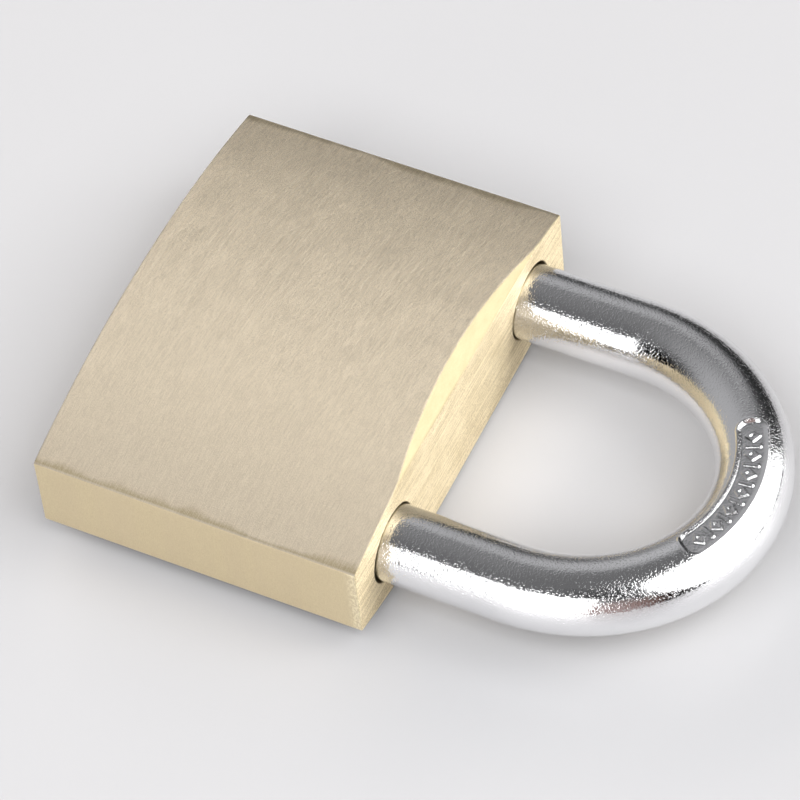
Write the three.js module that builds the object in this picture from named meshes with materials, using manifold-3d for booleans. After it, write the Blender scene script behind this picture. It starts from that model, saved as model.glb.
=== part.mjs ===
// A solid brass pin-tumbler padlock, lying on its back with the shackle shut and the lock open:
// plug turned to the release position, both bolts drawn back, every pin at the shear line.
// Millimetres. X runs from the keyway end to the shackle, Y across the width, Z up through the
// front. The lengths along X below are counted from the keyway end, and the heights from the
// middle of the thickness; the outer group moves the origin to the middle of the underside.
import * as THREE from "three";
import { mergeVertices } from "three/addons/utils/BufferGeometryUtils.js";
import Module from "manifold-3d";

const wasm = await Module();
wasm.setup();

// Block
const bodyLength = 36.6;
const bodyWidth = 50;
const sideHeight = 9.8;
const crownHeight = 3.4;
const crownFacets = 15;
const endBevelStart = 6.75; // height on the shackle end face where each 45 degree bevel begins
const bodyThickness = sideHeight + 2 * crownHeight;

// Shackle
const barDiameter = 8.3;
const barSides = 20;
const legSpacing = 33.4;
const straightOutside = 13.1;
const bendRise = 18.3; // centre line, from the end of the straight legs to the crest
const bendLength = (Math.PI * (legSpacing / 2 + bendRise)) / 2;
const toeDepth = 12;
const heelDepth = 31.4;
const shackleLift = 12.8;
const boreSpacing = 33.8;
const boreRadius = 4.55;
const boreSides = 24;
const overallLength = bodyLength + straightOutside + bendRise + barDiameter / 2;

// Gaps between pieces
const running = 0.3;

// Bolts, which slide along Y between the two legs
const boltX = bodyLength - 6.6;
const boltRadius = 2.8;
const boltTravel = 2;
const boltNose = 12.15; // distance of the drawn-back nose from the middle
const boltShoulder = 3.2; // distance of the full round section from the middle
const notchReach = boltRadius + 0.35;
const notchFloor = boltNose + boltTravel + 0.4;

// Heel waist and the pin that stops the shackle from coming out
const waistRadius = 2.2;
const retainerX = 22;
const retainerRadius = 0.9;
const waistStart = retainerX - shackleLift - retainerRadius - running;
const waistEnd = retainerX + retainerRadius + 0.4;
const heelFloor = 2;
const springPocketRadius = 1.5;
const springPocketDepth = 4.5;

// Plug and cam
const plugRadius = 5;
const plugSides = 32;
const plugFace = 0.2;
const plugEnd = 23.6;
const keywayEnd = 20.2;
const keywayHalfWidth = 1;
const keywayLow = -4.3;
const keywayHigh = 3;
const wards = [
  { side: -1, from: -2.6, to: -1.5 },
  { side: 1, from: -0.6, to: 0.5 },
];
const wardGap = 0.3; // from the middle of the keyway to a ward
const tailSlotHalfWidth = 1;
const tailSlotDepth = 1.2;
const plugPinX = 22;
const plugPinRadius = 0.75;
const plugGrooveDepth = 0.9;
const camThickness = 1.7;
const pegRadius = 0.7;
const pegCircle = boltTravel / Math.SQRT2; // a quarter turn moves a peg by the bolts' travel
const pegEnd = boltX - 1.5;

// Pin stacks
const pinCount = 5;
const firstPinX = 4.2;
const pinPitch = 3.5;
const pinRadius = 1;
const chamberRadius = 1.35;
const shearGap = 0.25; // from the plug's surface to the key pins below it
const driverLength = 5;
const pinSpringLength = 9.4;
const shortestKeyPin = 3.2;
const keyPinStep = 0.45;
const keyCode = [1, 4, 2, 0, 3];
const pinX = keyCode.map((_, i) => firstPinX + i * pinPitch);

const brass = { color: 0xcdbb94, roughness: 0.38, metalness: 1 };
const chrome = { color: 0xd9dadc, roughness: 0.12, metalness: 1 };
const steel = { color: 0x9a9c9f, roughness: 0.35, metalness: 1 };
const springSteel = { color: 0xb4b6b8, roughness: 0.25, metalness: 1 };

// ---- joining and cutting

function solidOf(geometry) {
  const bare = geometry.clone();
  bare.deleteAttribute("normal");
  bare.deleteAttribute("uv");
  const merged = mergeVertices(bare, 1e-5);
  return new wasm.Manifold(
    new wasm.Mesh({
      numProp: 3,
      vertProperties: new Float32Array(merged.attributes.position.array),
      triVerts: new Uint32Array(merged.index.array),
    }),
  );
}

function namedMesh(name, shape, look) {
  let geometry = shape;
  if (!shape.isBufferGeometry) {
    const made = shape.getMesh();
    geometry = new THREE.BufferGeometry();
    geometry.setAttribute("position", new THREE.BufferAttribute(made.vertProperties, 3));
    geometry.setIndex(new THREE.BufferAttribute(made.triVerts, 1));
    geometry.computeVertexNormals();
  }
  const mesh = new THREE.Mesh(geometry, new THREE.MeshStandardMaterial(look));
  mesh.name = name;
  return mesh;
}

function cut(solid, tools) {
  return tools.reduce((left, tool) => left.subtract(tool), solid);
}

// ---- basic shapes

function block([x0, x1], [y0, y1], [z0, z1]) {
  const box = new THREE.BoxGeometry(x1 - x0, y1 - y0, z1 - z0);
  return solidOf(box.translate((x0 + x1) / 2, (y0 + y1) / 2, (z0 + z1) / 2));
}

// A round bar from one place to another along an axis. Its ends can have two radii.
function bar(axis, [from, to], radius, centre, sides = 14, endRadius = radius) {
  const round = new THREE.CylinderGeometry(endRadius, radius, to - from, sides);
  round.translate(0, (from + to) / 2, 0);
  return solidOf(turnTo(axis, round).translate(...centre));
}

// Turns a shape made round the Y axis so that it stands along the named axis.
function turnTo(axis, geometry) {
  if (axis === "x") return geometry.rotateZ(-Math.PI / 2);
  if (axis === "z") return geometry.rotateX(Math.PI / 2);
  return geometry;
}

// A turned piece: pairs of radius and height, from the bottom centre to the top centre.
function turned(profile, sides = 12) {
  return new THREE.LatheGeometry(
    profile.map(([radius, height]) => new THREE.Vector2(radius, height)),
    sides,
  );
}

function polygon(radius, sides) {
  const corners = [];
  for (let i = 0; i < sides; i++) {
    const angle = (2 * Math.PI * i) / sides;
    corners.push(new THREE.Vector2(radius * Math.cos(angle), radius * Math.sin(angle)));
  }
  return new THREE.Shape(corners);
}

class Helix extends THREE.Curve {
  constructor(radius, length, turns) {
    super();
    Object.assign(this, { radius, length, turns });
  }
  getPoint(t, target = new THREE.Vector3()) {
    const angle = 2 * Math.PI * this.turns * t;
    return target.set(
      this.radius * Math.cos(angle),
      this.length * t,
      this.radius * Math.sin(angle),
    );
  }
}

// A coil spring that stands along Y from 0 to its length.
function coil(outerRadius, wireRadius, length, turns, stepsPerTurn, sides) {
  const path = new Helix(outerRadius - wireRadius, length - 2 * wireRadius, turns);
  const wire = new THREE.ExtrudeGeometry(polygon(wireRadius, sides), {
    steps: turns * stepsPerTurn,
    extrudePath: path,
  });
  return wire.translate(0, wireRadius, 0);
}

// The centre line of the shackle: heel leg, half an ellipse, toe leg.
class ShackleLine extends THREE.Curve {
  constructor() {
    super();
    this.bendStart = bodyLength + straightOutside;
    this.pieces = [heelDepth + straightOutside, bendLength, toeDepth + straightOutside];
  }
  getPoint(t, target = new THREE.Vector3()) {
    const [heel, bend, toe] = this.pieces;
    const s = t * (heel + bend + toe);
    const half = legSpacing / 2;
    if (s <= heel) return target.set(this.bendStart - heel + s, -half, 0);
    if (s >= heel + bend) return target.set(this.bendStart - (s - heel - bend), half, 0);
    const angle = (Math.PI * (s - heel)) / bend;
    return target.set(
      this.bendStart + bendRise * Math.sin(angle),
      -half * Math.cos(angle),
      0,
    );
  }
}

// ---- sub-parts

// Cross-section of the block: flat sides and a low arc over each broad face. The middle facet
// of each arc is level.
function bodyOutline() {
  const half = bodyWidth / 2;
  const arcRadius = (half * half + crownHeight * crownHeight) / (2 * crownHeight);
  const reach = Math.asin(half / arcRadius);
  const arc = [];
  for (let i = 0; i <= crownFacets; i++) {
    const angle = reach * (1 - (2 * i) / crownFacets);
    const drop = arcRadius * (1 - Math.cos(angle));
    arc.push([arcRadius * Math.sin(angle), bodyThickness / 2 - drop]);
  }
  const under = arc.map(([y, z]) => [-y, -z]);
  return new THREE.Shape([...arc, ...under].map(([y, z]) => new THREE.Vector2(y, z)));
}

function body() {
  const billet = new THREE.ExtrudeGeometry(bodyOutline(), {
    depth: bodyLength,
    bevelEnabled: false,
  });
  const toRow = new THREE.Matrix4().makeBasis(
    new THREE.Vector3(0, 1, 0),
    new THREE.Vector3(0, 0, 1),
    new THREE.Vector3(1, 0, 0),
  );
  const outside = bodyWidth / 2 + 1;
  const past = bodyLength + 1;
  const holes = [
    bar("x", [bodyLength - toeDepth - 0.4, past], boreRadius, [0, boreSpacing / 2, 0], boreSides),
    bar("x", [heelFloor, past], boreRadius, [0, -boreSpacing / 2, 0], boreSides),
    bar("x", [-1, boltX], plugRadius + running, [0, 0, 0], plugSides),
    bar("y", [-boreSpacing / 2, outside], boltRadius + running, [boltX, 0, 0], 24),
    bar("y", [plugRadius - 1, outside], plugPinRadius + running, [plugPinX, 0, 0], 12),
    bar("z", [-bodyThickness, 4.5], retainerRadius + running, [retainerX, retainerY(), 0], 12),
    ...pinX.map((x) => bar("y", [plugRadius - 1, outside], chamberRadius, [x, 0, 0])),
  ];
  const whole = solidOf(billet.applyMatrix4(toRow));
  return namedMesh("body", cut(whole, [...endBevels(), ...holes]), brass);
}

// What the two 45 degree bevels take off the shackle end, over and under.
function endBevels() {
  return [0, Math.PI].map((turn) => {
    const wedge = new THREE.BoxGeometry(10, bodyWidth + 2, 30).translate(5, 0, 0);
    wedge.rotateY(-Math.PI / 4).translate(bodyLength, 0, endBevelStart);
    return solidOf(wedge.rotateX(turn));
  });
}

function retainerY() {
  return -(legSpacing / 2 - waistRadius - retainerRadius - 0.65);
}

// What a waist takes off a leg: a ring outside the waist's radius.
function waistRing([from, to], radius, y) {
  const outer = bar("x", [from, to], barDiameter, [0, y, 0], barSides);
  return outer.subtract(bar("x", [from - 1, to + 1], radius, [0, y, 0], barSides));
}

// What a taper takes off the end of a leg.
function taperRing([from, to], tipRadius, y) {
  const outer = bar("x", [from - 1, to], barDiameter, [0, y, 0], barSides);
  const cone = bar("x", [from, to], tipRadius, [0, y, 0], barSides, barDiameter / 2);
  return outer.subtract(cone);
}

function shackle() {
  const path = new ShackleLine();
  const rod = new THREE.ExtrudeGeometry(polygon(barDiameter / 2, barSides), {
    steps: 54,
    extrudePath: path,
  });
  const y = legSpacing / 2;
  const heelEnd = bodyLength - heelDepth;
  const toeEnd = bodyLength - toeDepth;
  const notch = [boltX - notchReach, boltX + notchReach];
  const shaped = cut(solidOf(rod), [
    block(notch, [0, notchFloor], [-10, 10]),
    block(notch, [-notchFloor, 0], [-10, 10]),
    waistRing([waistStart, waistEnd], waistRadius, -y),
    taperRing([toeEnd, toeEnd + 1], barDiameter / 2 - 1, y),
    taperRing([heelEnd, heelEnd + 0.6], barDiameter / 2 - 0.6, -y),
    bar("x", [heelEnd - 1, heelEnd + springPocketDepth], springPocketRadius, [0, -y, 0]),
  ]);
  return namedMesh("shackle", shaped, chrome);
}

function shackleSpring() {
  const length = bodyLength - heelDepth + springPocketDepth - heelFloor - 2 * running;
  const spring = turnTo("x", coil(1.2, 0.25, length, 6, 9, 5));
  spring.translate(heelFloor + running, -legSpacing / 2, 0);
  return namedMesh("shackle_spring", spring, springSteel);
}

function shackleRetainingPin() {
  const bottom = -bodyThickness / 2 + 1.1;
  const pin = bar("z", [bottom, 4.2], retainerRadius, [retainerX, retainerY(), 0], 12);
  return namedMesh("shackle_retaining_pin", pin, steel);
}

// The keyway stands in the plane of the pins, with a ward on each side.
function keyway() {
  const slot = block([-1, keywayEnd], [-keywayHalfWidth, keywayHalfWidth], [keywayLow, keywayHigh]);
  const ribs = wards.map(({ side, from, to }) => {
    const rib = new THREE.BoxGeometry(keywayEnd + 4, 2, to - from);
    return solidOf(rib.translate(keywayEnd / 2, side * (wardGap + 1), (from + to) / 2));
  });
  return cut(slot, ribs);
}

function plug() {
  const core = bar("x", [plugFace, plugEnd], plugRadius, [0, 0, 0], plugSides);
  const grooveEnds = [plugPinX - plugPinRadius - running, plugPinX + plugPinRadius + running];
  const groove = bar("x", grooveEnds, plugRadius + 1, [0, 0, 0], plugSides).subtract(
    bar("x", [0, plugEnd], plugRadius - plugGrooveDepth, [0, 0, 0], plugSides),
  );
  const holes = pinX.map((x) => bar("z", [-0.7, plugRadius + 1], pinRadius + running, [x, 0, 0]));
  const tailSlot = block(
    [plugEnd - tailSlotDepth, plugEnd + 1],
    [-plugRadius, plugRadius],
    [-tailSlotHalfWidth, tailSlotHalfWidth],
  );
  return namedMesh("plug", cut(core, [keyway(), groove, tailSlot, ...holes]), brass);
}

function plugRetainingPin() {
  const inner = plugRadius - plugGrooveDepth + running;
  const pin = bar("y", [inner, bodyWidth / 2 - 0.1], plugPinRadius, [plugPinX, 0, 0], 12);
  return namedMesh("plug_retaining_pin", pin, steel);
}

// A disc with a tongue into the plug's tail and two pegs that draw the bolts back.
function lockingCam() {
  const from = plugEnd + running;
  const to = from + camThickness;
  const disc = bar("x", [from, to], plugRadius - 0.4, [0, 0, 0], plugSides);
  const tongueHalf = tailSlotHalfWidth - running;
  const tongue = block([from - tailSlotDepth + 0.1, from + 0.5], [-4, 4], [-tongueHalf, tongueHalf]);
  const offset = pegCircle / Math.SQRT2;
  const pegs = [-1, 1].map((side) =>
    bar("x", [to - 0.5, pegEnd], pegRadius, [0, side * offset, -side * offset], 12),
  );
  const whole = pegs.reduce((left, peg) => left.add(peg), disc.add(tongue));
  return namedMesh("locking_cam", whole, steel);
}

// The bolt for the leg on the +Y side: a round bar whose half-round arm reaches past the middle,
// with a hook at its end behind one peg, and a pocket for the bolt spring.
function boltSolid() {
  const hookEnd = -(pegCircle / Math.SQRT2 + pegRadius + running + 0.9);
  const whole = bar("y", [hookEnd, boltNose - 0.6], boltRadius, [boltX, 0, 0], 24);
  const nose = bar("y", [boltNose - 0.7, boltNose], boltRadius, [boltX, 0, 0], 24, boltRadius - 0.6);
  const inner = [hookEnd - 1, boltShoulder];
  return cut(whole.add(nose), [
    block([0, bodyLength], inner, [-5, running]),
    block([boltX - 0.1, bodyLength], inner, [-5, 5]),
    block([0, pegEnd + running], [hookEnd + 0.9, boltShoulder], [-5, 5]),
    bar("y", [boltShoulder - 1, boltShoulder + 2], 1.15, [boltX + 1.2, 0, 0], 12),
  ]);
}

function toeBolt() {
  return namedMesh("toe_bolt", boltSolid(), steel);
}

function heelBolt() {
  return namedMesh("heel_bolt", boltSolid().rotate([180, 0, 0]), steel);
}

function boltSpring() {
  const reach = boltShoulder + 2 - running;
  const spring = coil(0.9, 0.18, 2 * reach, 7, 7, 4);
  return namedMesh("bolt_spring", spring.translate(boltX + 1.2, -reach, 0), springSteel);
}

function boltBorePlug() {
  const cap = bar("y", [22, bodyWidth / 2 - 0.05], boltRadius, [boltX, 0, 0], 24);
  return namedMesh("bolt_bore_plug", cap, brass);
}

function keyPin(index) {
  const top = plugRadius - shearGap;
  const length = shortestKeyPin + keyPinStep * keyCode[index];
  const pin = turned([
    [0, top - length],
    [0.3, top - length],
    [pinRadius, top - length + 0.7],
    [pinRadius, top - 0.15],
    [pinRadius - 0.2, top],
    [0, top],
  ]);
  const name = `key_pin_${index + 1}`;
  return namedMesh(name, turnTo("z", pin).translate(pinX[index], 0, 0), brass);
}

const driverBottom = plugRadius + running;
const springBottom = driverBottom + driverLength + running;
const chamberPlugBottom = springBottom + pinSpringLength + running;

function driverPin(index) {
  const waist = pinRadius - 0.3;
  const pin = turned([
    [0, 0],
    [pinRadius, 0],
    [pinRadius, 0.9],
    [waist, 1.1],
    [waist, driverLength - 1.1],
    [pinRadius, driverLength - 0.9],
    [pinRadius, driverLength],
    [0, driverLength],
  ]);
  return namedMesh(`driver_pin_${index + 1}`, pin.translate(pinX[index], driverBottom, 0), steel);
}

function pinSpring(index) {
  const spring = coil(1, 0.16, pinSpringLength, 5, 7, 4);
  spring.translate(pinX[index], springBottom, 0);
  return namedMesh(`pin_spring_${index + 1}`, spring, springSteel);
}

function chamberPlug(index) {
  const ends = [chamberPlugBottom, bodyWidth / 2 - 0.05];
  const cap = bar("y", ends, chamberRadius - 0.25, [pinX[index], 0, 0]);
  return namedMesh(`chamber_plug_${index + 1}`, cap, brass);
}

// ---- assembly

const perPin = (make) => pinX.map((_, index) => make(index));

const plugGroup = new THREE.Group();
plugGroup.add(plug(), lockingCam(), ...perPin(keyPin));

const lock = new THREE.Group();
lock.add(
  body(),
  boltBorePlug(),
  plugRetainingPin(),
  shackleRetainingPin(),
  shackle(),
  shackleSpring(),
  toeBolt(),
  heelBolt(),
  boltSpring(),
  plugGroup,
  ...perPin(driverPin),
  ...perPin(pinSpring),
  ...perPin(chamberPlug),
);
lock.position.set(-overallLength / 2, 0, bodyThickness / 2);

const padlock = new THREE.Group();
padlock.add(lock);

export default padlock;
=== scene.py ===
"""A solid brass padlock with a chromed shackle, on a white sheet in the light of three windows.

Everything is placed in the lock's own millimetres: x runs from the keyway end to the shackle,
y across the width, z up from the middle of the thickness. place() turns that into the row frame.
"""
import math

import bmesh
import bpy
import numpy as np
from mathutils import Matrix, Vector


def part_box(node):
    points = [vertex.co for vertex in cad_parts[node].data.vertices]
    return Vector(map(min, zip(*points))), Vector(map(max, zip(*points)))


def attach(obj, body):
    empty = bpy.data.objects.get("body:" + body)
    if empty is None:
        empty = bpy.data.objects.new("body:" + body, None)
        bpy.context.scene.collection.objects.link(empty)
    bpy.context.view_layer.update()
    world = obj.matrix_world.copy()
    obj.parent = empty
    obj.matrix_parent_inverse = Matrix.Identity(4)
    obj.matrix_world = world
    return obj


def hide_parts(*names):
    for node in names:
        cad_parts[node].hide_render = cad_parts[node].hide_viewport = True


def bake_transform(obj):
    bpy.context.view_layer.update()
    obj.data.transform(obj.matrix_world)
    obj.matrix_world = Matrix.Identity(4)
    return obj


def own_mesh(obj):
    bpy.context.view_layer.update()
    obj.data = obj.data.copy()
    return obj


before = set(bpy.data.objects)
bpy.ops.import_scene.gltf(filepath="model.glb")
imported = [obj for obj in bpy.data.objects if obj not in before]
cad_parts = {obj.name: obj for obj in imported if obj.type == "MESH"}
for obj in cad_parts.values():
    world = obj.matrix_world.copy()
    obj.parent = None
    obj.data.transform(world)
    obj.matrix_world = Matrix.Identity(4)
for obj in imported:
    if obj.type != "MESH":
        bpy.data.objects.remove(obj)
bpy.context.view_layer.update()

MM = 0.001
TAU = 2 * math.pi

# ---- sizes in mm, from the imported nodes' own boxes and the lock's driving dimensions

block_low, block_high = (np.array(c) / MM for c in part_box("body"))
shackle_low, shackle_high = (np.array(c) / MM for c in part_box("shackle"))
plug_low, plug_high = (np.array(c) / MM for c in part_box("plug"))
START = np.array([block_low[0], 0, (shackle_low[2] + shackle_high[2]) / 2])

LENGTH, WIDTH = block_high[0] - block_low[0], block_high[1] - block_low[1]
HALF_THICK = 8.3  # half the block's thickness at the crown, and at the narrow sides
HALF_SIDE = 4.9
END_BEVEL = 6.72  # height on the shackle end where the upper bevel begins, and the under one
END_BEVEL_UNDER = 6.95
BEVEL_TILT = 0.022  # the upper bevel is ground a little askew across the width
EDGE = 0.16  # rounding of the end edges and of the long edges
CORNER = 0.3

BAR = (shackle_high[2] - shackle_low[2]) / 2
LEG = (shackle_high[1] - shackle_low[1]) / 2 - BAR
BEND_START = LENGTH + 13.1
BEND_RISE = shackle_high[0] - block_low[0] - BAR - BEND_START
HEEL_END = shackle_low[0] - block_low[0]
TOE_END = LENGTH - 12
BORE_Y, BORE = 16.78, 4.36
WAIST, WAIST_LOW, WAIST_HIGH = 2.2, 8.1, 23.2  # the heel leg's turned waist, for its retaining pin
NOTCH_FLOOR, NOTCH_HALF = 14.55, 3.15  # the bolts' notches in both legs

PLUG = (plug_high[1] - plug_low[1]) / 2
PLUG_FACE, PLUG_END, PLUG_GROOVE = 0.2, 23.6, 0.9
RETAINER_X, SHACKLE_PIN_Y = 22, -12.95
PLUG_PIN, SHACKLE_PIN = 0.75, 0.9  # radii of the two retaining pins
PRESSED = 0.02  # a bore's radius over that of the pin or cap pressed into it
BOLT_X, BOLT, BOLT_NOSE, BOLT_HOOK = LENGTH - 6.6, 2.8, 12.15, -2.9
BOLT_SPRING_X, BOLT_SPRING_END = BOLT_X + 1.2, 4.9
LIFT_SPRING_LOW, LIFT_SPRING_HIGH = 2.3, 9.4
CAP = 1.1  # radius of the caps over the pin chambers
CHAMBER = CAP + PRESSED
KEYWAY_END = 20.2
CAM, CAM_LOW, CAM_HIGH = 4.6, 23.9, 25.6
DRIVER_LOW, DRIVER_LENGTH, DRIVER_TRAVEL = 5.3, 5, 1.5
KEY_PIN_TOP = 4.75
PIN_SPRING_LOW, PIN_SPRING_HIGH = 10.6, 20
PEG = 0.7
ON_AXIS = 0.02  # turned profiles start and end this far off their axis
PIN_X = [(np.array(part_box(f"driver_pin_{i}")).mean(0)[0] / MM) - START[0] for i in range(1, 6)]


def place(points):
    """Lock millimetres to row metres."""
    return (np.asarray(points, float) + START) * MM


# ---- camera

def make_camera():
    """A long lens at the photograph's angle, with a slight roll."""
    aim, distance = Vector((-0.0066, -0.0002, 0.0083)), 0.5455
    azimuth, elevation, roll = (math.radians(a) for a in (30.76, 53.17, -6.71))
    spread = math.cos(elevation)
    back = Vector((math.sin(azimuth) * spread, -math.cos(azimuth) * spread, math.sin(elevation)))
    level = Vector((math.cos(azimuth), math.sin(azimuth), 0))
    upright = back.cross(level)
    right = math.cos(roll) * level + math.sin(roll) * upright
    up = back.cross(right)
    camera = bpy.data.objects.new("camera", bpy.data.cameras.new("camera"))
    camera.data.lens, camera.data.sensor_width = 236.74, 36
    camera.data.clip_start, camera.data.clip_end = 0.01, 50
    turn = Matrix((right, up, back)).transposed().to_4x4()
    camera.matrix_world = Matrix.Translation(aim + back * distance) @ turn
    bpy.context.collection.objects.link(camera)
    bpy.context.scene.camera = camera


make_camera()

# ---- materials


class Nodes:
    """A thin wrapper that makes nodes and joins them in one call."""

    def __init__(self, tree):
        self.tree = tree

    def add(self, kind, inputs=None, **settings):
        made = self.tree.nodes.new(kind)
        for key, value in settings.items():
            setattr(made, key, value)
        for key, value in (inputs or {}).items():
            if isinstance(value, bpy.types.NodeSocket):
                self.tree.links.new(value, made.inputs[key])
            else:
                made.inputs[key].default_value = value
        return made

    def math(self, operation, *values):
        return self.add("ShaderNodeMath", dict(enumerate(values)), operation=operation).outputs[0]

    def mixture(self, *parts):
        """The sum of values, each times its own weight."""
        total = 0.0
        for value, weight in parts:
            total = self.math("MULTIPLY_ADD", value, weight, total)
        return total

    def noise(self, vector, scale, detail=2.0, roughness=0.5):
        inputs = {"Vector": vector, "Scale": scale, "Detail": detail, "Roughness": roughness}
        return self.add("ShaderNodeTexNoise", inputs).outputs["Fac"]

    def ramp(self, value, low, high, to_low=0.0, to_high=1.0):
        inputs = {0: value, 1: low, 2: high, 3: to_low, 4: to_high}
        return self.add("ShaderNodeMapRange", inputs).outputs[0]

    def stretch(self, vector, scale):
        return self.add("ShaderNodeMapping", {"Vector": vector, "Scale": scale}).outputs[0]

    def blend(self, factor, a, b):
        made = self.add("ShaderNodeMix", {0: factor}, data_type="RGBA")
        for socket, value in ((made.inputs[6], a), (made.inputs[7], b)):
            if isinstance(value, bpy.types.NodeSocket):
                self.tree.links.new(value, socket)
            else:
                socket.default_value = (*value, 1)
        return made.outputs[2]

    def bump(self, height, distance):
        inputs = {"Height": height, "Strength": 1.0, "Distance": distance}
        return self.add("ShaderNodeBump", inputs).outputs[0]


def new_material(name, metallic=1.0, anisotropic=0.0):
    """A material, its nodes, its shader and its object coordinates in millimetres."""
    material = bpy.data.materials.new(name)
    material.use_nodes = True
    nodes = Nodes(material.node_tree)
    shader = material.node_tree.nodes["Principled BSDF"]
    shader.inputs["Metallic"].default_value = metallic
    shader.inputs["Anisotropic"].default_value = anisotropic
    place_mm = nodes.add("ShaderNodeTexCoord").outputs["Object"]
    return material, nodes, shader, nodes.stretch(place_mm, (1000, 1000, 1000))


def finish_material(nodes, shader, colour, roughness, normal, tangent=None):
    inputs = (("Base Color", colour), ("Roughness", roughness), ("Normal", normal), ("Tangent", tangent))
    for socket, value in inputs:
        if value is not None:
            nodes.tree.links.new(value, shader.inputs[socket])


def brushed_metal(name, light, dark, roughness, grain, depth, across=None, spread=0.18, lean=(0, 0, 0),
                  edge_marks_and_painted_light=None):
    """Satin metal. grain is how many lines it has per millimetre along x, y and z; spread is the share
    of the noise that the two colours cover, so a small one gives stronger lines; across is the
    direction its highlights stretch in, square to the brushing; edge_marks_and_painted_light adds an
    edge's marks and the painted shade and painted highlights near it."""
    material, nodes, shader, at = new_material(name, anisotropic=0.88 if across else 0.0)
    leant = nodes.add("ShaderNodeMapping", {"Vector": at, "Rotation": lean}).outputs[0]
    fine = nodes.noise(nodes.stretch(leant, grain), 1.0, 4, 0.7)
    lines = nodes.noise(nodes.stretch(leant, [g * (0.45 if g > 1.5 else 0.2) for g in grain]), 1.0, 3, 0.6)
    speckle = nodes.noise(at, 7.0, 2, 0.6)
    cloud = nodes.noise(at, 0.3, 3, 0.5)
    tone = nodes.mixture((fine, 0.5), (lines, 0.15), (speckle, 0.35))
    shade = nodes.mixture((tone, 0.9), (cloud, 0.1))
    colour = nodes.blend(nodes.ramp(shade, 0.5 - spread, 0.5 + spread), dark, light)
    if edge_marks_and_painted_light:
        colour = edge_marks_and_painted_light(nodes, at, tone, colour)
    gloss = nodes.ramp(tone, 0.35, 0.65, roughness + 0.07, roughness - 0.07)
    normal = nodes.bump(tone, depth * MM)
    tangent = None
    if across:
        sway = nodes.ramp(lines, 0.3, 0.7, -0.08, 0.08)
        swayed = nodes.add("ShaderNodeCombineXYZ", {0: across[0], 1: sway, 2: across[2]}).outputs[0]
        turn = nodes.add("ShaderNodeVectorTransform", {0: swayed}, convert_from="OBJECT", convert_to="WORLD")
        tangent = turn.outputs[0]
    finish_material(nodes, shader, colour, gloss, normal, tangent)
    return material


def painted_edge_shade(nodes, at, tone, colour):
    """Painted shade: a darker strip that wanders just inside the long edges, and darker colour painted
    towards the near one.
    """
    sides = nodes.add("ShaderNodeSeparateXYZ", {0: at}).outputs
    inset = nodes.math("SUBTRACT", WIDTH / 2, nodes.math("ABSOLUTE", sides[1]))
    wander = nodes.noise(nodes.stretch(at, (0.13, 0.02, 0)), 1.0, 2, 0.5)
    reach = nodes.ramp(wander, 0.4, 0.6, 0.5, 1.4)
    # painted shade: a darker strip along both long edges
    painted_edge_band = nodes.ramp(nodes.math("DIVIDE", inset, reach), 1.0, 0.4)
    painted_edge_band = nodes.math("MULTIPLY", painted_edge_band, nodes.ramp(tone, 0.35, 0.6, 0.9, 0.5))
    painted_edge_band = nodes.math("MULTIPLY", painted_edge_band, nodes.ramp(inset, 0.12, 0.28))
    # painted shade: the colour darkens towards the near long side
    painted_near_shade = nodes.ramp(sides[1], WIDTH / 2 - 9, -WIDTH / 2 + 4, 0.0, 0.7)
    return nodes.blend(painted_edge_band, nodes.blend(painted_near_shade, colour, (0.60, 0.525, 0.415)), (0.44, 0.36, 0.22))


def cross_brushed_end_painted_glints(nodes, at, tone, colour):
    """Coarse cross-brushing marks on the last millimetre of the narrow sides, lightened as painted
    highlights, and faint broad streaks.
    """
    sides = nodes.add("ShaderNodeSeparateXYZ", {0: at}).outputs
    inset = nodes.math("SUBTRACT", START[0] + LENGTH, sides[0])
    marks = nodes.noise(nodes.stretch(at, (3.5, 2, 1.8)), 1.0, 3, 0.7)
    edge = nodes.math("MULTIPLY", nodes.ramp(inset, 1.3, 0.5), nodes.ramp(marks, 0.42, 0.62))
    streak = nodes.ramp(nodes.noise(nodes.stretch(at, (0.35, 0, 0.02)), 1.0, 3, 0.6), 0.35, 0.65, 0.0, 0.35)
    # the cross-brushing marks are real; their pale colour is a painted highlight
    return nodes.blend(edge, nodes.blend(streak, colour, (0.70, 0.58, 0.40)), (1.0, 0.9, 0.66))


def chrome():
    """Bright chrome over bar stock: orange peel, fine grit and dimples, matter inside the stamped panel."""
    material, nodes, shader, at = new_material("shackle_chrome")
    peel = nodes.noise(at, 1.1, 3, 0.5)
    grit = nodes.ramp(nodes.noise(at, 4.6, 1.5, 0.6), 0.5, 0.72)
    cells = nodes.add("ShaderNodeTexVoronoi", {"Vector": at, "Scale": 3.2, "Randomness": 1.0})
    split = nodes.add("ShaderNodeSeparateColor", {0: cells.outputs["Color"]})
    chosen = nodes.ramp(split.outputs[0], 0.55, 0.6)
    dimple = nodes.math("MULTIPLY", nodes.ramp(cells.outputs["Distance"], 0.28, 0.05), chosen)
    panel = nodes.add("ShaderNodeAttribute", attribute_name="panel").outputs["Fac"]
    height = nodes.mixture((peel, 0.42), (grit, 0.38), (dimple, -0.35))
    normal = nodes.bump(height, 0.03 * MM)
    clean = nodes.blend(nodes.noise(at, 0.2, 2), (0.76, 0.76, 0.77), (0.81, 0.81, 0.815))
    dull = nodes.math("MULTIPLY", panel, nodes.ramp(peel, 0.35, 0.65, 0.25, 0.5))
    colour = nodes.blend(dull, clean, (0.5, 0.5, 0.51))
    gloss = nodes.math("ADD", nodes.ramp(peel, 0.3, 0.7, 0.07, 0.11), nodes.math("MULTIPLY", panel, 0.12))
    finish_material(nodes, shader, colour, gloss, normal)
    return material


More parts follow.
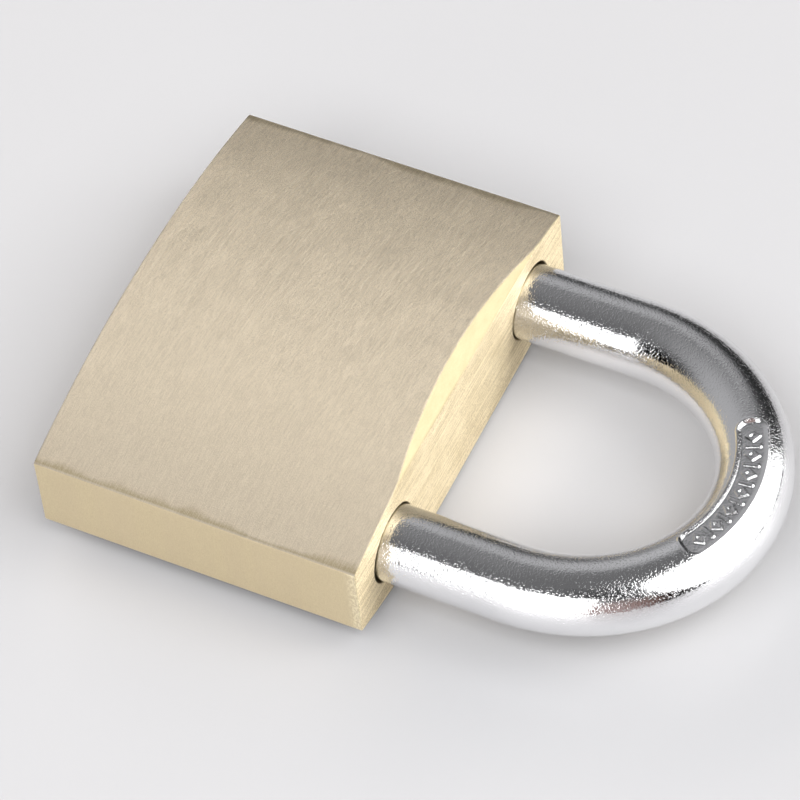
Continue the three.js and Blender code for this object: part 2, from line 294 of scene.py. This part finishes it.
def table_top():
    """A matt white sheet whose colour is painted brighter further from the lock: painted light for where the
    sheet curves up into the light.
    """
    material, nodes, shader, at = new_material("table_top", metallic=0.0)
    distance = nodes.add("ShaderNodeVectorMath", {0: at}, operation="LENGTH")
    painted_far_light = nodes.ramp(distance.outputs["Value"], 160, 900)
    mottle = nodes.blend(nodes.noise(at, 0.02, 2), (0.188, 0.188, 0.19), (0.192, 0.192, 0.194))
    # painted light: the sheet's colour brightens with distance from the lock
    colour = nodes.blend(painted_far_light, mottle, (0.31, 0.31, 0.315))
    finish_material(nodes, shader, colour, nodes.ramp(nodes.noise(at, 0.5), 0, 1, 0.3, 0.4), None)
    return material


# One brass, one copy per face: the brushing is each face's own finish, and the lower colours of the end, side
# and bevel are painted shade, set to how bright each face looks under the lights.
BRASS_FACE = brushed_metal("brass_face", (0.99, 0.875, 0.69), (0.73, 0.64, 0.50), 0.62, (11, 0.8, 0.4),
                           0.08, (1, 0, 0), 0.075, (0, 0, 0.08), painted_edge_shade)
BRASS_END = brushed_metal("brass_end", (0.93, 0.81, 0.575), (0.58, 0.475, 0.295), 0.51, (3.5, 0.12, 7),
                          0.10, (0, 0, 1), 0.05, (0.03, 0, 0))
BRASS_BEVEL = brushed_metal("brass_bevel", (0.66, 0.575, 0.365), (0.61, 0.53, 0.335), 0.60,
                            (2, 0.6, 2), 0.01)
BRASS_SIDE = brushed_metal("brass_side", (0.795, 0.68, 0.45), (0.69, 0.575, 0.37), 0.44, (7, 7, 2.5),
                           0.03, None, 0.14, (0, 0, 0), cross_brushed_end_painted_glints)
BRASS_BORE = brushed_metal("brass_bore", (0.70, 0.58, 0.36), (0.58, 0.46, 0.27), 0.35, (6, 1, 1), 0.01)
BRASS_PLUG = brushed_metal("brass_plug", (0.84, 0.71, 0.46), (0.74, 0.60, 0.36), 0.34, (7, 1, 1), 0.01)
BRASS_PIN = brushed_metal("brass_pin", (0.84, 0.70, 0.44), (0.72, 0.58, 0.34), 0.28, (1, 1, 9), 0.01)
BRASS_CAP = brushed_metal("brass_cap", (0.82, 0.71, 0.50), (0.72, 0.60, 0.40), 0.44, (4, 4, 1.6), 0.03)
STEEL = brushed_metal("ground_steel", (0.62, 0.63, 0.64), (0.48, 0.49, 0.50), 0.32, (1, 8, 1), 0.01)
SPRING = brushed_metal("spring_wire", (0.72, 0.72, 0.73), (0.58, 0.58, 0.59), 0.26, (4, 4, 4), 0.005)
CHROME = chrome()
TABLE = table_top()

# ---- mesh building


def new_piece(name, points, faces, materials, smooth=35):
    """A mesh object from lock-millimetre points, shaded smooth up to an angle in degrees."""
    mesh = bpy.data.meshes.new(name)
    mesh.from_pydata(place(points).tolist(), [], faces)
    piece = bpy.data.objects.new(name, mesh)
    bpy.context.collection.objects.link(piece)
    for material in materials:
        mesh.materials.append(material)
    tidy(piece, smooth)
    return piece


def tidy(piece, smooth):
    """Joins doubled points, turns the faces outwards and marks edges over the angle as sharp."""
    work = bmesh.new()
    work.from_mesh(piece.data)
    bmesh.ops.remove_doubles(work, verts=work.verts, dist=1e-8)
    bmesh.ops.recalc_face_normals(work, faces=work.faces)
    limit = math.radians(smooth)
    for edge in work.edges:
        edge.smooth = len(edge.link_faces) == 2 and edge.calc_face_angle(0) < limit
    for face in work.faces:
        face.smooth = True
    work.to_mesh(piece.data)
    work.free()


def smooth_step(value, low, high):
    t = np.clip((value - low) / (high - low), 0, 1)
    return t * t * (3 - 2 * t)


def loft(rings):
    """Points and faces of a skin over equal rings of points, with a flat face over each end."""
    count = len(rings[0])
    faces = []
    for r in range(len(rings) - 1):
        a, b = r * count, (r + 1) * count
        faces += [(a + i, a + (i + 1) % count, b + (i + 1) % count, b + i) for i in range(count)]
    faces.append(tuple(range(count))[::-1])
    faces.append(tuple(range((len(rings) - 1) * count, len(rings) * count)))
    return np.concatenate([np.asarray(ring, float) for ring in rings]), faces


def rounded(profile, radius, steps=4):
    """An open outline of (radius, height) with its inner corners turned into arcs."""
    points = [np.array(p, float) for p in profile]
    out = [points[0]]
    for before, corner, after in zip(points, points[1:], points[2:]):
        a, b = before - corner, after - corner
        reach = min(radius, np.linalg.norm(a) / 2.05, np.linalg.norm(b) / 2.05)
        p, q = corner + a / np.linalg.norm(a) * reach, corner + b / np.linalg.norm(b) * reach
        for i in range(steps + 1):
            t = i / steps
            out.append((1 - t) ** 2 * p + 2 * t * (1 - t) * corner + t * t * q)
    return out + [points[-1]]


AXES = {
    "x": (Vector((0, 1, 0)), Vector((0, 0, 1)), Vector((1, 0, 0))),
    "y": (Vector((0, 0, 1)), Vector((1, 0, 0)), Vector((0, 1, 0))),
    "z": (Vector((1, 0, 0)), Vector((0, 1, 0)), Vector((0, 0, 1))),
}


def turned(profile, axis="x", at=(0, 0, 0), sides=64, edge=0.08):
    """Points and faces of a turned piece. The profile runs from end to end, off the axis."""
    u, v, w = (np.array(a) for a in AXES[axis])
    outline = rounded(profile, edge) if edge else [np.array(p, float) for p in profile]
    angles = np.arange(sides) * TAU / sides
    spokes = np.outer(np.cos(angles), u) + np.outer(np.sin(angles), v)
    return loft([np.array(at) + radius * spokes + height * w for radius, height in outline])


def carve(piece, cutters, smooth=35, material=None, operation="DIFFERENCE"):
    """Takes each (points, faces) shape out of the piece in turn, or adds it."""
    for number, (points, faces) in enumerate(cutters):
        tool = new_piece(f"{piece.name}_cutter_{number}", points, faces, [material] if material else [])
        cut = piece.modifiers.new("cut", "BOOLEAN")
        cut.object, cut.operation, cut.solver = tool, operation, "EXACT"
        cut.material_mode = "TRANSFER" if material else "INDEX"
        apply_modifiers(piece)
        bpy.data.objects.remove(tool)
    tidy(piece, smooth)


def apply_modifiers(piece):
    made = bpy.data.meshes.new_from_object(piece.evaluated_get(bpy.context.evaluated_depsgraph_get()))
    piece.modifiers.clear()
    old, piece.data = piece.data, made
    made.name = piece.name
    bpy.data.meshes.remove(old)


def cuboid(low, high):
    (x0, y0, z0), (x1, y1, z1) = low, high
    ring = lambda x: [(x, y0, z0), (x, y1, z0), (x, y1, z1), (x, y0, z1)]
    return loft([ring(x0), ring(x1)])


def even_shading(piece):
    """Keeps flat faces flat beside their rounded edges."""
    weighted = piece.modifiers.new("even_shading", "WEIGHTED_NORMAL")
    weighted.keep_sharp = True
    weighted.weight = 80
    apply_modifiers(piece)


def soften(piece, width):
    """Breaks the sharp edges of a machined piece."""
    broken = piece.modifiers.new("broken_edges", "BEVEL")
    broken.width, broken.segments, broken.limit_method = width * MM, 2, "ANGLE"
    broken.angle_limit = math.radians(40)
    apply_modifiers(piece)
    tidy(piece, 30)
    even_shading(piece)


def stand_for(piece, node, body):
    """The piece rides on the body and is drawn in place of the CAD node."""
    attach(piece, body)
    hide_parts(node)


# ---- the block


def block_section(steps=200, corner_steps=5):
    """The block's outline as (y, z) points with their outward normals: two crowns between two flat
    sides, with small arcs at the four long edges."""
    half, crown = WIDTH / 2, HALF_THICK - HALF_SIDE
    arc = (half * half + crown * crown) / (2 * crown)
    centre = HALF_THICK - arc
    corner_y = half - CORNER
    corner_z = centre + math.sqrt((arc - CORNER) ** 2 - corner_y**2)
    lean = math.atan2(corner_z - centre, corner_y)
    quarter = []
    for i in range(corner_steps + 1):
        angle = lean * i / corner_steps
        normal = np.array([math.cos(angle), math.sin(angle)])
        quarter.append((np.array([corner_y, corner_z]) + CORNER * normal, normal))
    for i in range(1, steps // 2 + 1):
        angle = lean + (math.pi / 2 - lean) * i / (steps // 2)
        normal = np.array([math.cos(angle), math.sin(angle)])
        quarter.append((np.array([0, centre]) + arc * normal, normal))
    mirror = lambda flip: [(p * flip, n * flip) for p, n in quarter]
    outline = quarter + mirror([-1, 1])[::-1][1:]
    outline += mirror([-1, -1]) + mirror([1, -1])[::-1][1:]
    return np.array([p for p, _ in outline]), np.array([n for _, n in outline])


def soft_min(a, b, width):
    """The smaller of two heights, rounded over where they cross."""
    overlap = np.maximum(width - np.abs(a - b), 0) / width
    return np.minimum(a, b) - overlap**2 * width / 4


def block_stations():
    """Distances along the block with how far the outline is drawn in there for the end edges."""
    turn = np.linspace(0, math.pi / 2, 6)
    first = [(EDGE * (1 - math.cos(a)), EDGE * (1 - math.sin(a))) for a in turn]
    middle = [(x, 0) for x in np.linspace(EDGE, LENGTH - 2, 14)[1:-1]]
    near_bevel = [(x, 0) for x in np.arange(LENGTH - 2, LENGTH - EDGE, 0.06)]
    last = [(LENGTH - x, drawn) for x, drawn in first[::-1]]
    return first + middle + near_bevel + last


NEAR_END = 2.2  # the bevels lie within this of the shackle end


def make_block():
    """The crowned block with its bevelled shackle end and all of its bores."""
    outline, normals = block_section()
    rings = []
    for x, drawn in block_stations():
        y, z = (outline - normals * drawn).T
        left = LENGTH - x
        over = soft_min(z, END_BEVEL - BEVEL_TILT * y + left - drawn, EDGE)
        z = -soft_min(-over, END_BEVEL_UNDER + left - drawn, EDGE)
        rings.append(np.stack([np.full(len(y), x), y, z], 1))
    points, faces = loft(rings)
    block = new_piece("block", points, faces, [BRASS_FACE, BRASS_SIDE, BRASS_END, BRASS_BEVEL, BRASS_BORE])
    for face in block.data.polygons:
        if abs(face.normal.y) > 0.85:
            face.material_index = 1
        elif abs(face.normal.x) > 0.85:
            face.material_index = 2
        elif face.normal.x > 0.5 and face.center.x > (START[0] + LENGTH - NEAR_END) * MM:
            face.material_index = 3
    lip = 0.1

    def leg_bore(bottom):
        return [(BORE, bottom), (BORE, LENGTH - lip), (BORE + lip, LENGTH), (BORE + lip, LENGTH + 2)]

    past_side = WIDTH / 2 + 1
    cutters = [turned(leg_bore(TOE_END - 0.4), "x", (0, BORE_Y, 0), 96, 0)]
    cutters.append(turned(leg_bore(2), "x", (0, -BORE_Y, 0), 96, 0))
    running = PLUG + 0.08
    mouth = [(running + lip, -2), (running + lip, 0), (running, lip), (running, BOLT_X)]
    cutters.append(turned(mouth, "x", (0, 0, 0), 96, 0))
    bolt_bore = [(BOLT + 0.12, -BORE_Y), (BOLT + 0.12, past_side)]
    cutters.append(turned(bolt_bore, "y", (BOLT_X, 0, 0), 64, 0))
    for x in PIN_X:
        cutters.append(turned([(CHAMBER, PLUG - 0.5), (CHAMBER, past_side)], "y", (x, 0, 0), 40, 0))
    plug_pin, shackle_pin = PLUG_PIN + PRESSED, SHACKLE_PIN + PRESSED
    cutters.append(turned([(plug_pin, PLUG - 0.5), (plug_pin, past_side)], "y", (RETAINER_X, 0, 0), 40, 0))
    at = (RETAINER_X, SHACKLE_PIN_Y, 0)
    cutters.append(turned([(shackle_pin, -20), (shackle_pin, 4.5)], "z", at, 40, 0))
    carve(block, cutters, material=BRASS_BORE)
    even_shading(block)
    stand_for(block, "body", "body")


make_block()

# ---- plug and cam


def key_slot(grow):
    """Outline of the warded keyway in (y, z), drawn out by grow."""
    corners = [(-1, -4.3), (1, -4.3), (1, -0.6), (0.3, -0.6), (0.3, 0.5), (1, 0.5),
               (1, 3), (-1, 3), (-1, -1.5), (-0.3, -1.5), (-0.3, -2.6), (-1, -2.6)]
    points = [Vector(c) for c in corners]
    out = []
    for i, corner in enumerate(points):
        back = (corner - points[i - 1]).normalized()
        on = (points[(i + 1) % len(points)] - corner).normalized()
        outward = Vector((back.y, -back.x)) + Vector((on.y, -on.x))
        grown = corner + outward * grow
        out += [grown - back * 0.12, grown - (back - on) * 0.04, grown + on * 0.12]
    return out


def make_plug():
    """The turning core, with its keyway, pin chambers, retaining groove and the slot in its tail."""
    low, high, chamfered, grooved = RETAINER_X - 1, RETAINER_X + 1, PLUG - 0.2, PLUG - PLUG_GROOVE
    profile = [(ON_AXIS, PLUG_FACE), (chamfered, PLUG_FACE), (PLUG, PLUG_FACE + 0.2), (PLUG, low)]
    profile += [(grooved, low), (grooved, high), (PLUG, high), (PLUG, PLUG_END - 0.2)]
    profile += [(chamfered, PLUG_END), (ON_AXIS, PLUG_END)]
    plug = new_piece("key_plug", *turned(profile, "x", sides=128), [BRASS_PLUG])
    mouth = ((-1, 0.14), (PLUG_FACE, 0.14), (0.38, 0), (KEYWAY_END, 0))
    cutters = [loft([[(x, *p) for p in key_slot(grow)] for x, grow in mouth])]
    for x in PIN_X:
        cutters.append(turned([(CHAMBER, -0.7), (CHAMBER, PLUG + 1)], "z", (x, 0, 0), 40, 0))
    cutters.append(cuboid((22.4, -6, -1), (25, 6, 1)))
    carve(plug, cutters)
    even_shading(plug)
    stand_for(plug, "plug", "plug")


def make_cam():
    """A disc with a tongue into the plug's tail and two pegs for the bolts."""
    peg_root, peg_tip = CAM_HIGH - 0.4, CAM_HIGH + 2.9
    disc = [(ON_AXIS, CAM_LOW), (CAM, CAM_LOW), (CAM, CAM_HIGH), (ON_AXIS, CAM_HIGH)]
    peg = [(ON_AXIS, peg_root), (PEG, peg_root), (PEG, peg_tip), (ON_AXIS, peg_tip)]
    tongue = cuboid((PLUG_END - 0.8, -4, -0.75), (CAM_LOW + 0.3, 4, 0.75))
    parts = [turned(disc, "x", sides=96, edge=0.12), tongue]
    for side in (-1, 1):
        parts.append(turned(peg, "x", (0, side, -side), 32, 0.12))
    cam = new_piece("peg_cam", *parts[0], [STEEL])
    carve(cam, parts[1:], operation="UNION")
    soften(cam, 0.06)
    stand_for(cam, "locking_cam", "plug")


make_plug()
make_cam()

# ---- bolts


def make_bolt(side):
    """A round bolt with a rounded nose, a half-round arm past the middle and a hook for one peg."""
    profile = [(ON_AXIS, BOLT_HOOK), (BOLT, BOLT_HOOK), (BOLT, BOLT_NOSE - 0.9), (BOLT - 0.6, BOLT_NOSE)]
    profile += [(ON_AXIS, BOLT_NOSE)]
    name = "toe_bolt" if side > 0 else "heel_bolt"
    points, faces = turned(profile, "y", (BOLT_X, 0, 0), 96, 0.3)
    below, shoulder = BOLT_HOOK - 1, 3.2
    cutters = [cuboid((20, below, -5), (40, shoulder, 0.3))]
    cutters.append(cuboid((BOLT_X - 0.1, below, -5), (40, shoulder, 5)))
    cutters.append(cuboid((20, -2, -5), (28.8, shoulder, 5)))
    cutters.append(turned([(1.15, 2.2), (1.15, 5.2)], "y", (BOLT_SPRING_X, 0, 0), 40, 0))
    over = np.array([1, side, side])
    bolt = new_piece(f"{name}_bar", points * over, faces, [STEEL])
    carve(bolt, [(cutter * over, cutter_faces) for cutter, cutter_faces in cutters])
    soften(bolt, 0.07)
    stand_for(bolt, name, name)


def make_cap(name, node, radius, x, inner):
    """A brass plug pressed into a cross bore and ground flush with the side."""
    end = WIDTH / 2 - 0.05
    profile = [(ON_AXIS, inner), (radius, inner), (radius, end), (ON_AXIS, end)]
    cap = new_piece(name, *turned(profile, "y", (x, 0, 0), 64, 0.06), [BRASS_CAP])
    stand_for(cap, node, "body")


make_bolt(1)
make_bolt(-1)
make_cap("bolt_bore_cap", "bolt_bore_plug", BOLT, BOLT_X, 22)

# ---- pins


def make_pin(name, node, body, profile, axis, at, material, edge=0.08):
    pin = new_piece(name, *turned(profile, axis, at, 48, edge), [material])
    stand_for(pin, node, body)


def plain_pin(radius, low, high):
    chamfer = 0.15
    profile = [(ON_AXIS, low), (radius - chamfer, low), (radius, low + chamfer)]
    return profile + [(radius, high - chamfer), (radius - chamfer, high), (ON_AXIS, high)]


def spool_pin(low, high):
    """A driver pin: two full collars with a thin waist between, which baulks when it is picked at."""
    profile = [(ON_AXIS, low), (0.9, low), (1, low + 0.1), (1, low + 0.9), (0.7, low + 1.15)]
    return profile + [(0.7, high - 1.15), (1, high - 0.9), (1, high - 0.1), (0.9, high), (ON_AXIS, high)]


def pointed_pin(low, high):
    """A key pin, with a blunt cone for the key's cuts to lift."""
    profile = [(ON_AXIS, low), (0.3, low + 0.02), (1, low + 0.7)]
    return profile + [(1, high - 0.15), (0.8, high), (ON_AXIS, high)]


plug_pin, shackle_pin = plain_pin(PLUG_PIN, 4.4, 24.9), plain_pin(SHACKLE_PIN, -7.2, 4.2)
make_pin("plug_pin", "plug_retaining_pin", "body", plug_pin, "y", (RETAINER_X, 0, 0), STEEL)
make_pin("shackle_pin", "shackle_retaining_pin", "body", shackle_pin, "z",
         (RETAINER_X, SHACKLE_PIN_Y, 0), STEEL)
for number, x in enumerate(PIN_X, 1):
    driver, key = f"driver_pin_{number}", f"key_pin_{number}"
    spool = spool_pin(DRIVER_LOW, DRIVER_LOW + DRIVER_LENGTH)
    make_pin(f"driver_{number}", driver, driver, spool, "y", (x, 0, 0), STEEL, 0.06)
    tip = pointed_pin(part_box(key)[0][2] / MM - START[2], KEY_PIN_TOP)
    make_pin(f"bottom_pin_{number}", key, key, tip, "z", (x, 0, 0), BRASS_PIN, 0.1)
    make_cap(f"chamber_cap_{number}", f"chamber_plug_{number}", CAP, x, 20.3)

# ---- springs


def coil(axis, at, outer, wire, low, high, turns, steps=20, sides=10):
    """A coil spring with closed ends, as a tube swept along a helix."""
    u, v, w = (np.array(a) for a in AXES[axis])
    count = int(turns * steps)
    t = np.linspace(0, 1, count + 1)
    closed = 0.75 / turns
    climb = t - closed * np.sin(TAU * t) / TAU
    angle = TAU * turns * t
    radius = outer - wire
    height = low + wire + (high - low - 2 * wire) * climb
    spoke = np.outer(np.cos(angle), u) + np.outer(np.sin(angle), v)
    centre = np.array(at) + radius * spoke + np.outer(height, w)
    along = np.gradient(centre, axis=0)
    along /= np.linalg.norm(along, axis=1)[:, None]
    side = np.cross(along, spoke)
    turn = np.arange(sides) * TAU / sides
    rings = []
    for middle, out, across in zip(centre, spoke, side):
        rings.append(middle + wire * (np.outer(np.cos(turn), out) + np.outer(np.sin(turn), across)))
    return loft(rings)


def half_coil(name, side):
    """Half of the bolts' spring: the halves meet in the middle, and each runs out into its own bolt."""
    shape = coil("y", (BOLT_SPRING_X, 0, 0), 0.9, 0.18, 0, BOLT_SPRING_END, 3.5)
    spring = new_piece(name, *shape, [SPRING], 60)
    if side < 0:
        spring.data.transform(Matrix.Diagonal((1, -1, 1, 1)))
        tidy(spring, 60)
    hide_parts("bolt_spring")
    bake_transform(spring)


half_coil("bolt_spring_toe_half", 1)
half_coil("bolt_spring_heel_half", -1)

lift_coil = coil("x", (0, -LEG, 0), 1.2, 0.25, LIFT_SPRING_LOW, LIFT_SPRING_HIGH, 6)
lift_spring = new_piece("lift_spring", *lift_coil, [SPRING], 60)
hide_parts("shackle_spring")
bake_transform(lift_spring)

for number, x in enumerate(PIN_X, 1):
    shape = coil("y", (x, 0, 0), 1, 0.16, PIN_SPRING_LOW, PIN_SPRING_HIGH, 8)
    spring = new_piece(f"driver_spring_{number}", *shape, [SPRING], 60)
    stand_for(spring, f"pin_spring_{number}", "body")
    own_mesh(spring)

# ---- the shackle


def leg_rows(profile, side):
    """Rows along a straight leg: place, outward direction and radius."""
    return [(np.array([x, side * LEG, 0.0]), np.array([0, side, 0.0]), radius) for radius, x in profile]


def bend_point(t):
    """Centre line of the bend, t from 0 at the heel leg to pi at the toe leg."""
    centre = np.array([BEND_START + BEND_RISE * math.sin(t), -LEG * math.cos(t), 0])
    along = np.array([BEND_RISE * math.cos(t), LEG * math.sin(t), 0])
    outward = np.array([along[1], -along[0], 0])
    return centre, outward / np.linalg.norm(outward)


PANEL_HALF_LENGTH, PANEL_HALF_WIDTH, PANEL_CORNER = 9.2, 1.55, 1.15
PANEL_LEAN = math.radians(92)
PANEL_FLOOR = 3.78  # distance of the panel's flat floor from the bar's centre line
MARK_PITCH = 2.4
FINE_STEP = 0.085  # size of the mesh around the panel


def box_distance(u, v, half_u, half_v, corner):
    """How far a point lies outside a rounded rectangle; negative inside."""
    du, dv = np.abs(u) - half_u + corner, np.abs(v) - half_v + corner
    return np.hypot(np.maximum(du, 0), np.maximum(dv, 0)) + np.minimum(np.maximum(du, dv), 0) - corner


def panel_height(u, v, radius):
    """Height above the bar of the stamped panel with its row of plain lozenges, and where it is."""
    edge = box_distance(u, v, PANEL_HALF_LENGTH, PANEL_HALF_WIDTH, PANEL_CORNER)
    inside = 1 - smooth_step(edge, -0.36, -0.02)
    floor = PANEL_FLOOR / np.cos(v / radius) - radius
    lozenge, bar = np.full_like(u, 9.0), np.full_like(u, 9.0)
    for i in range(-3, 4):
        lozenge = np.minimum(lozenge, np.abs(u - MARK_PITCH * i) + np.abs(v) / 1.25)
    for i in range(-3, 3):
        bar = np.minimum(bar, box_distance(u - MARK_PITCH * (i + 0.5), v, 0.16, 0.85, 0.15))
    marks = 0.2 * (1 - smooth_step(lozenge, 0.62, 0.84)) - 0.16 * (1 - smooth_step(lozenge, 0.16, 0.38))
    marks = np.maximum(marks, 0.18 * (1 - smooth_step(bar, 0.0, 0.2)))
    rim = 0.11 * smooth_step(edge, -0.08, 0.06) * (1 - smooth_step(edge, 0.06, 0.3))
    return inside * (floor + marks) + rim, inside


def make_shackle():
    """One skin along the whole bar, finer around the panel, with the notches cut afterwards."""
    sweep = np.linspace(0, math.pi, 2001)
    arc = np.array([bend_point(t)[0] for t in sweep])
    run = np.r_[0, np.cumsum(np.linalg.norm(np.diff(arc, axis=0), axis=1))]
    crest = run[-1] / 2
    near_panel = np.arange(-PANEL_HALF_LENGTH - 0.6, PANEL_HALF_LENGTH + 0.6, FINE_STEP) + crest
    coarse = np.linspace(0, near_panel[0], 34)[:-1]
    stops = np.r_[coarse, near_panel, (run[-1] - coarse)[::-1]]
    bend = [np.interp(s, run, sweep) for s in stops]

    heel_profile = rounded([(BAR - 0.6, HEEL_END), (BAR, HEEL_END + 0.6), (BAR, WAIST_LOW - 0.1),
                            (WAIST, WAIST_LOW), (WAIST, WAIST_HIGH), (BAR, WAIST_HIGH + 0.1),
                            (BAR, LENGTH)], 0.15)
    toe_profile = rounded([(BAR - 1, TOE_END), (BAR, TOE_END + 1), (BAR, LENGTH)], 0.15)
    straight = [(BAR, x) for x in np.linspace(LENGTH, BEND_START, 12)[1:-1]]
    rows = leg_rows(heel_profile + straight, -1)
    rows += [(*bend_point(t), BAR) for t in bend]
    rows += leg_rows((toe_profile + straight)[::-1], 1)
    first_bend = len(heel_profile + straight)

    fine = np.arange(-2.1, 2.1, FINE_STEP) / BAR + PANEL_LEAN
    rest = np.linspace(fine[-1], fine[0] + TAU, 62)[1:-1]
    angles = np.r_[fine, rest]
    v = (angles - PANEL_LEAN + math.pi) % TAU - math.pi
    rings, panel = [], []
    for number, (centre, outward, radius) in enumerate(rows):
        rise, inside = np.zeros(len(angles)), np.zeros(len(angles))
        if 0 <= number - first_bend < len(stops):
            u = np.full(len(angles), stops[number - first_bend] - crest)
            rise, inside = panel_height(u, v * BAR, BAR)
        reach = radius + rise
        flat = np.outer(reach * np.cos(angles), outward)
        rings.append(centre + flat + np.outer(reach * np.sin(angles), [0, 0, 1]))
        panel.append(inside)
    points, faces = loft(rings)
    shackle = new_piece("shackle_bar", points, faces, [CHROME], 50)
    mask = shackle.data.attributes.new("panel", "FLOAT", "POINT")
    mask.data.foreach_set("value", np.concatenate(panel))

    low, high, floor = BOLT_X - NOTCH_HALF, BOLT_X + NOTCH_HALF, NOTCH_FLOOR
    notches = [cuboid((low, 0, -6), (high, floor, 6)), cuboid((low, -floor, -6), (high, 0, 6))]
    pocket = turned([(1.5, HEEL_END - 1), (1.5, HEEL_END + 4.5)], "x", (0, -LEG, 0), 40, 0)
    carve(shackle, notches + [pocket], 50)
    stand_for(shackle, "shackle", "shackle")


make_shackle()

# ---- table, light and the last lines


def make_table():
    mesh, half = bpy.data.meshes.new("table"), 6
    corners = [(-half, -half, 0), (half, -half, 0), (half, half, 0), (-half, half, 0)]
    mesh.from_pydata(corners, [], [(0, 1, 2, 3)])
    table = bpy.data.objects.new("table", mesh)
    bpy.context.collection.objects.link(table)
    mesh.materials.append(TABLE)


def soft_box(name, azimuth, elevation, distance, width, height, radiance, shape="RECTANGLE"):
    """A light that faces the origin, and is hidden from the camera itself."""
    light = bpy.data.lights.new(name, "AREA")
    light.shape, light.size, light.size_y = shape, width, height
    light.energy = radiance * math.pi * width * height * (math.pi / 4 if shape == "ELLIPSE" else 1)
    holder = bpy.data.objects.new(name, light)
    at = towards(azimuth, elevation) * distance
    holder.location = at
    holder.rotation_euler = at.to_track_quat("Z", "Y").to_euler()
    holder.visible_camera = False
    bpy.context.collection.objects.link(holder)
    return holder


def towards(azimuth, elevation):
    """The direction at an azimuth, from -y towards +x, and an elevation, in degrees."""
    a, e = math.radians(azimuth), math.radians(elevation)
    return Vector((math.sin(a) * math.cos(e), -math.cos(a) * math.cos(e), math.sin(e)))


def make_world():
    """A dim room: a pale wall to the left, something warm in front, and darker places around the windows."""
    world = bpy.data.worlds.new("studio")
    bpy.context.scene.world = world
    world.use_nodes = True
    nodes = Nodes(world.node_tree)
    direction = nodes.add("ShaderNodeTexCoord").outputs["Generated"]

    def patch(azimuth, elevation, reach, amount):
        aimed = nodes.add("ShaderNodeVectorMath", {0: direction, 1: towards(azimuth, elevation)},
                          operation="DOT_PRODUCT")
        limits = {0: aimed.outputs["Value"], 1: math.cos(math.radians(reach)), 2: 1.0, 3: 0.0, 4: amount}
        return nodes.add("ShaderNodeMapRange", limits, interpolation_type="SMOOTHSTEP").outputs[0]

    grey = 0.17
    patches = ((-100, 22, 60, 0.31), (-153, 36, 24, 0.26), (-40, 24, 27, -0.17), (38, 52, 24, -0.09),
               (64, 8, 34, -0.17), (175, 14, 34, -0.14))
    for place_and_amount in patches:
        grey = nodes.math("ADD", grey, patch(*place_and_amount))
    warm = patch(33, 12, 26, 0.28)
    weights = ((1.0, 1.0), (1.0, 0.62), (1.02, 0.55))
    red, green, blue = (nodes.mixture((grey, g), (warm, w)) for g, w in weights)
    shade = nodes.add("ShaderNodeCombineColor", {0: red, 1: green, 2: blue}).outputs[0]
    world.node_tree.links.new(shade, world.node_tree.nodes["Background"].inputs[0])


def make_light():
    """Three windows that show in the metal, and softer fill that only the sheet under the lock sees."""
    soft_box("window_left", 2, 24, 1.3, 0.92, 1.1, 2.9)
    soft_box("window_right", 90, 36, 1.3, 1.44, 1.89, 2.7, "ELLIPSE")
    soft_box("window_back", 127, 34, 1.3, 0.95, 1.5, 1.9)
    cool, warm = (0.98, 0.98, 1.0), (1.0, 0.93, 0.87)
    fills = (("front", 6, 55, 12.2, cool), ("right", 84, 52, 7.6, cool),
             ("back", 135, 22, 3.6, warm), ("far", 240, 22, 6.2, warm))
    for side, azimuth, elevation, radiance, tint in fills:
        fill = soft_box(f"fill_{side}", azimuth, elevation, 1.5, 1.5, 1.0, radiance)
        fill.data.color = tint
        fill.visible_glossy = False


def make_glow():
    """The warm light that the brass walls and the bend of the shackle throw on to the sheet beside them."""
    end, middle, height = START[0] + LENGTH, START[0] + LENGTH / 2, HALF_SIDE
    walls = (("end", (end + 2, 0), (1, 0, -1), 2 * (LEG - BAR), 4.8),
             ("keyway", (START[0] - 1, 0), (-1, 0, 0), 0.9 * WIDTH, 4.0),
             ("side", (middle, -WIDTH / 2 - 2), (0, -1, -1), 0.95 * LENGTH, 1.8),
             ("bend", (shackle_high[0] - 2 * BAR - 4, 0), (-1, 0, -1.5), LEG, 3.2))
    for name, (x, y), facing, width, radiance in walls:
        glow = soft_box(f"glow_{name}", 0, 0, 1, width * MM, height * MM, radiance)
        glow.location = Vector((x, y, HALF_THICK)) * MM
        glow.rotation_euler = (-Vector(facing)).to_track_quat("Z", "Y").to_euler()
        glow.data.color = (1.0, 0.9, 0.79)
        glow.visible_glossy = False


make_world()
make_table()
make_light()
make_glow()
bpy.context.scene.view_settings.view_transform = "Standard"
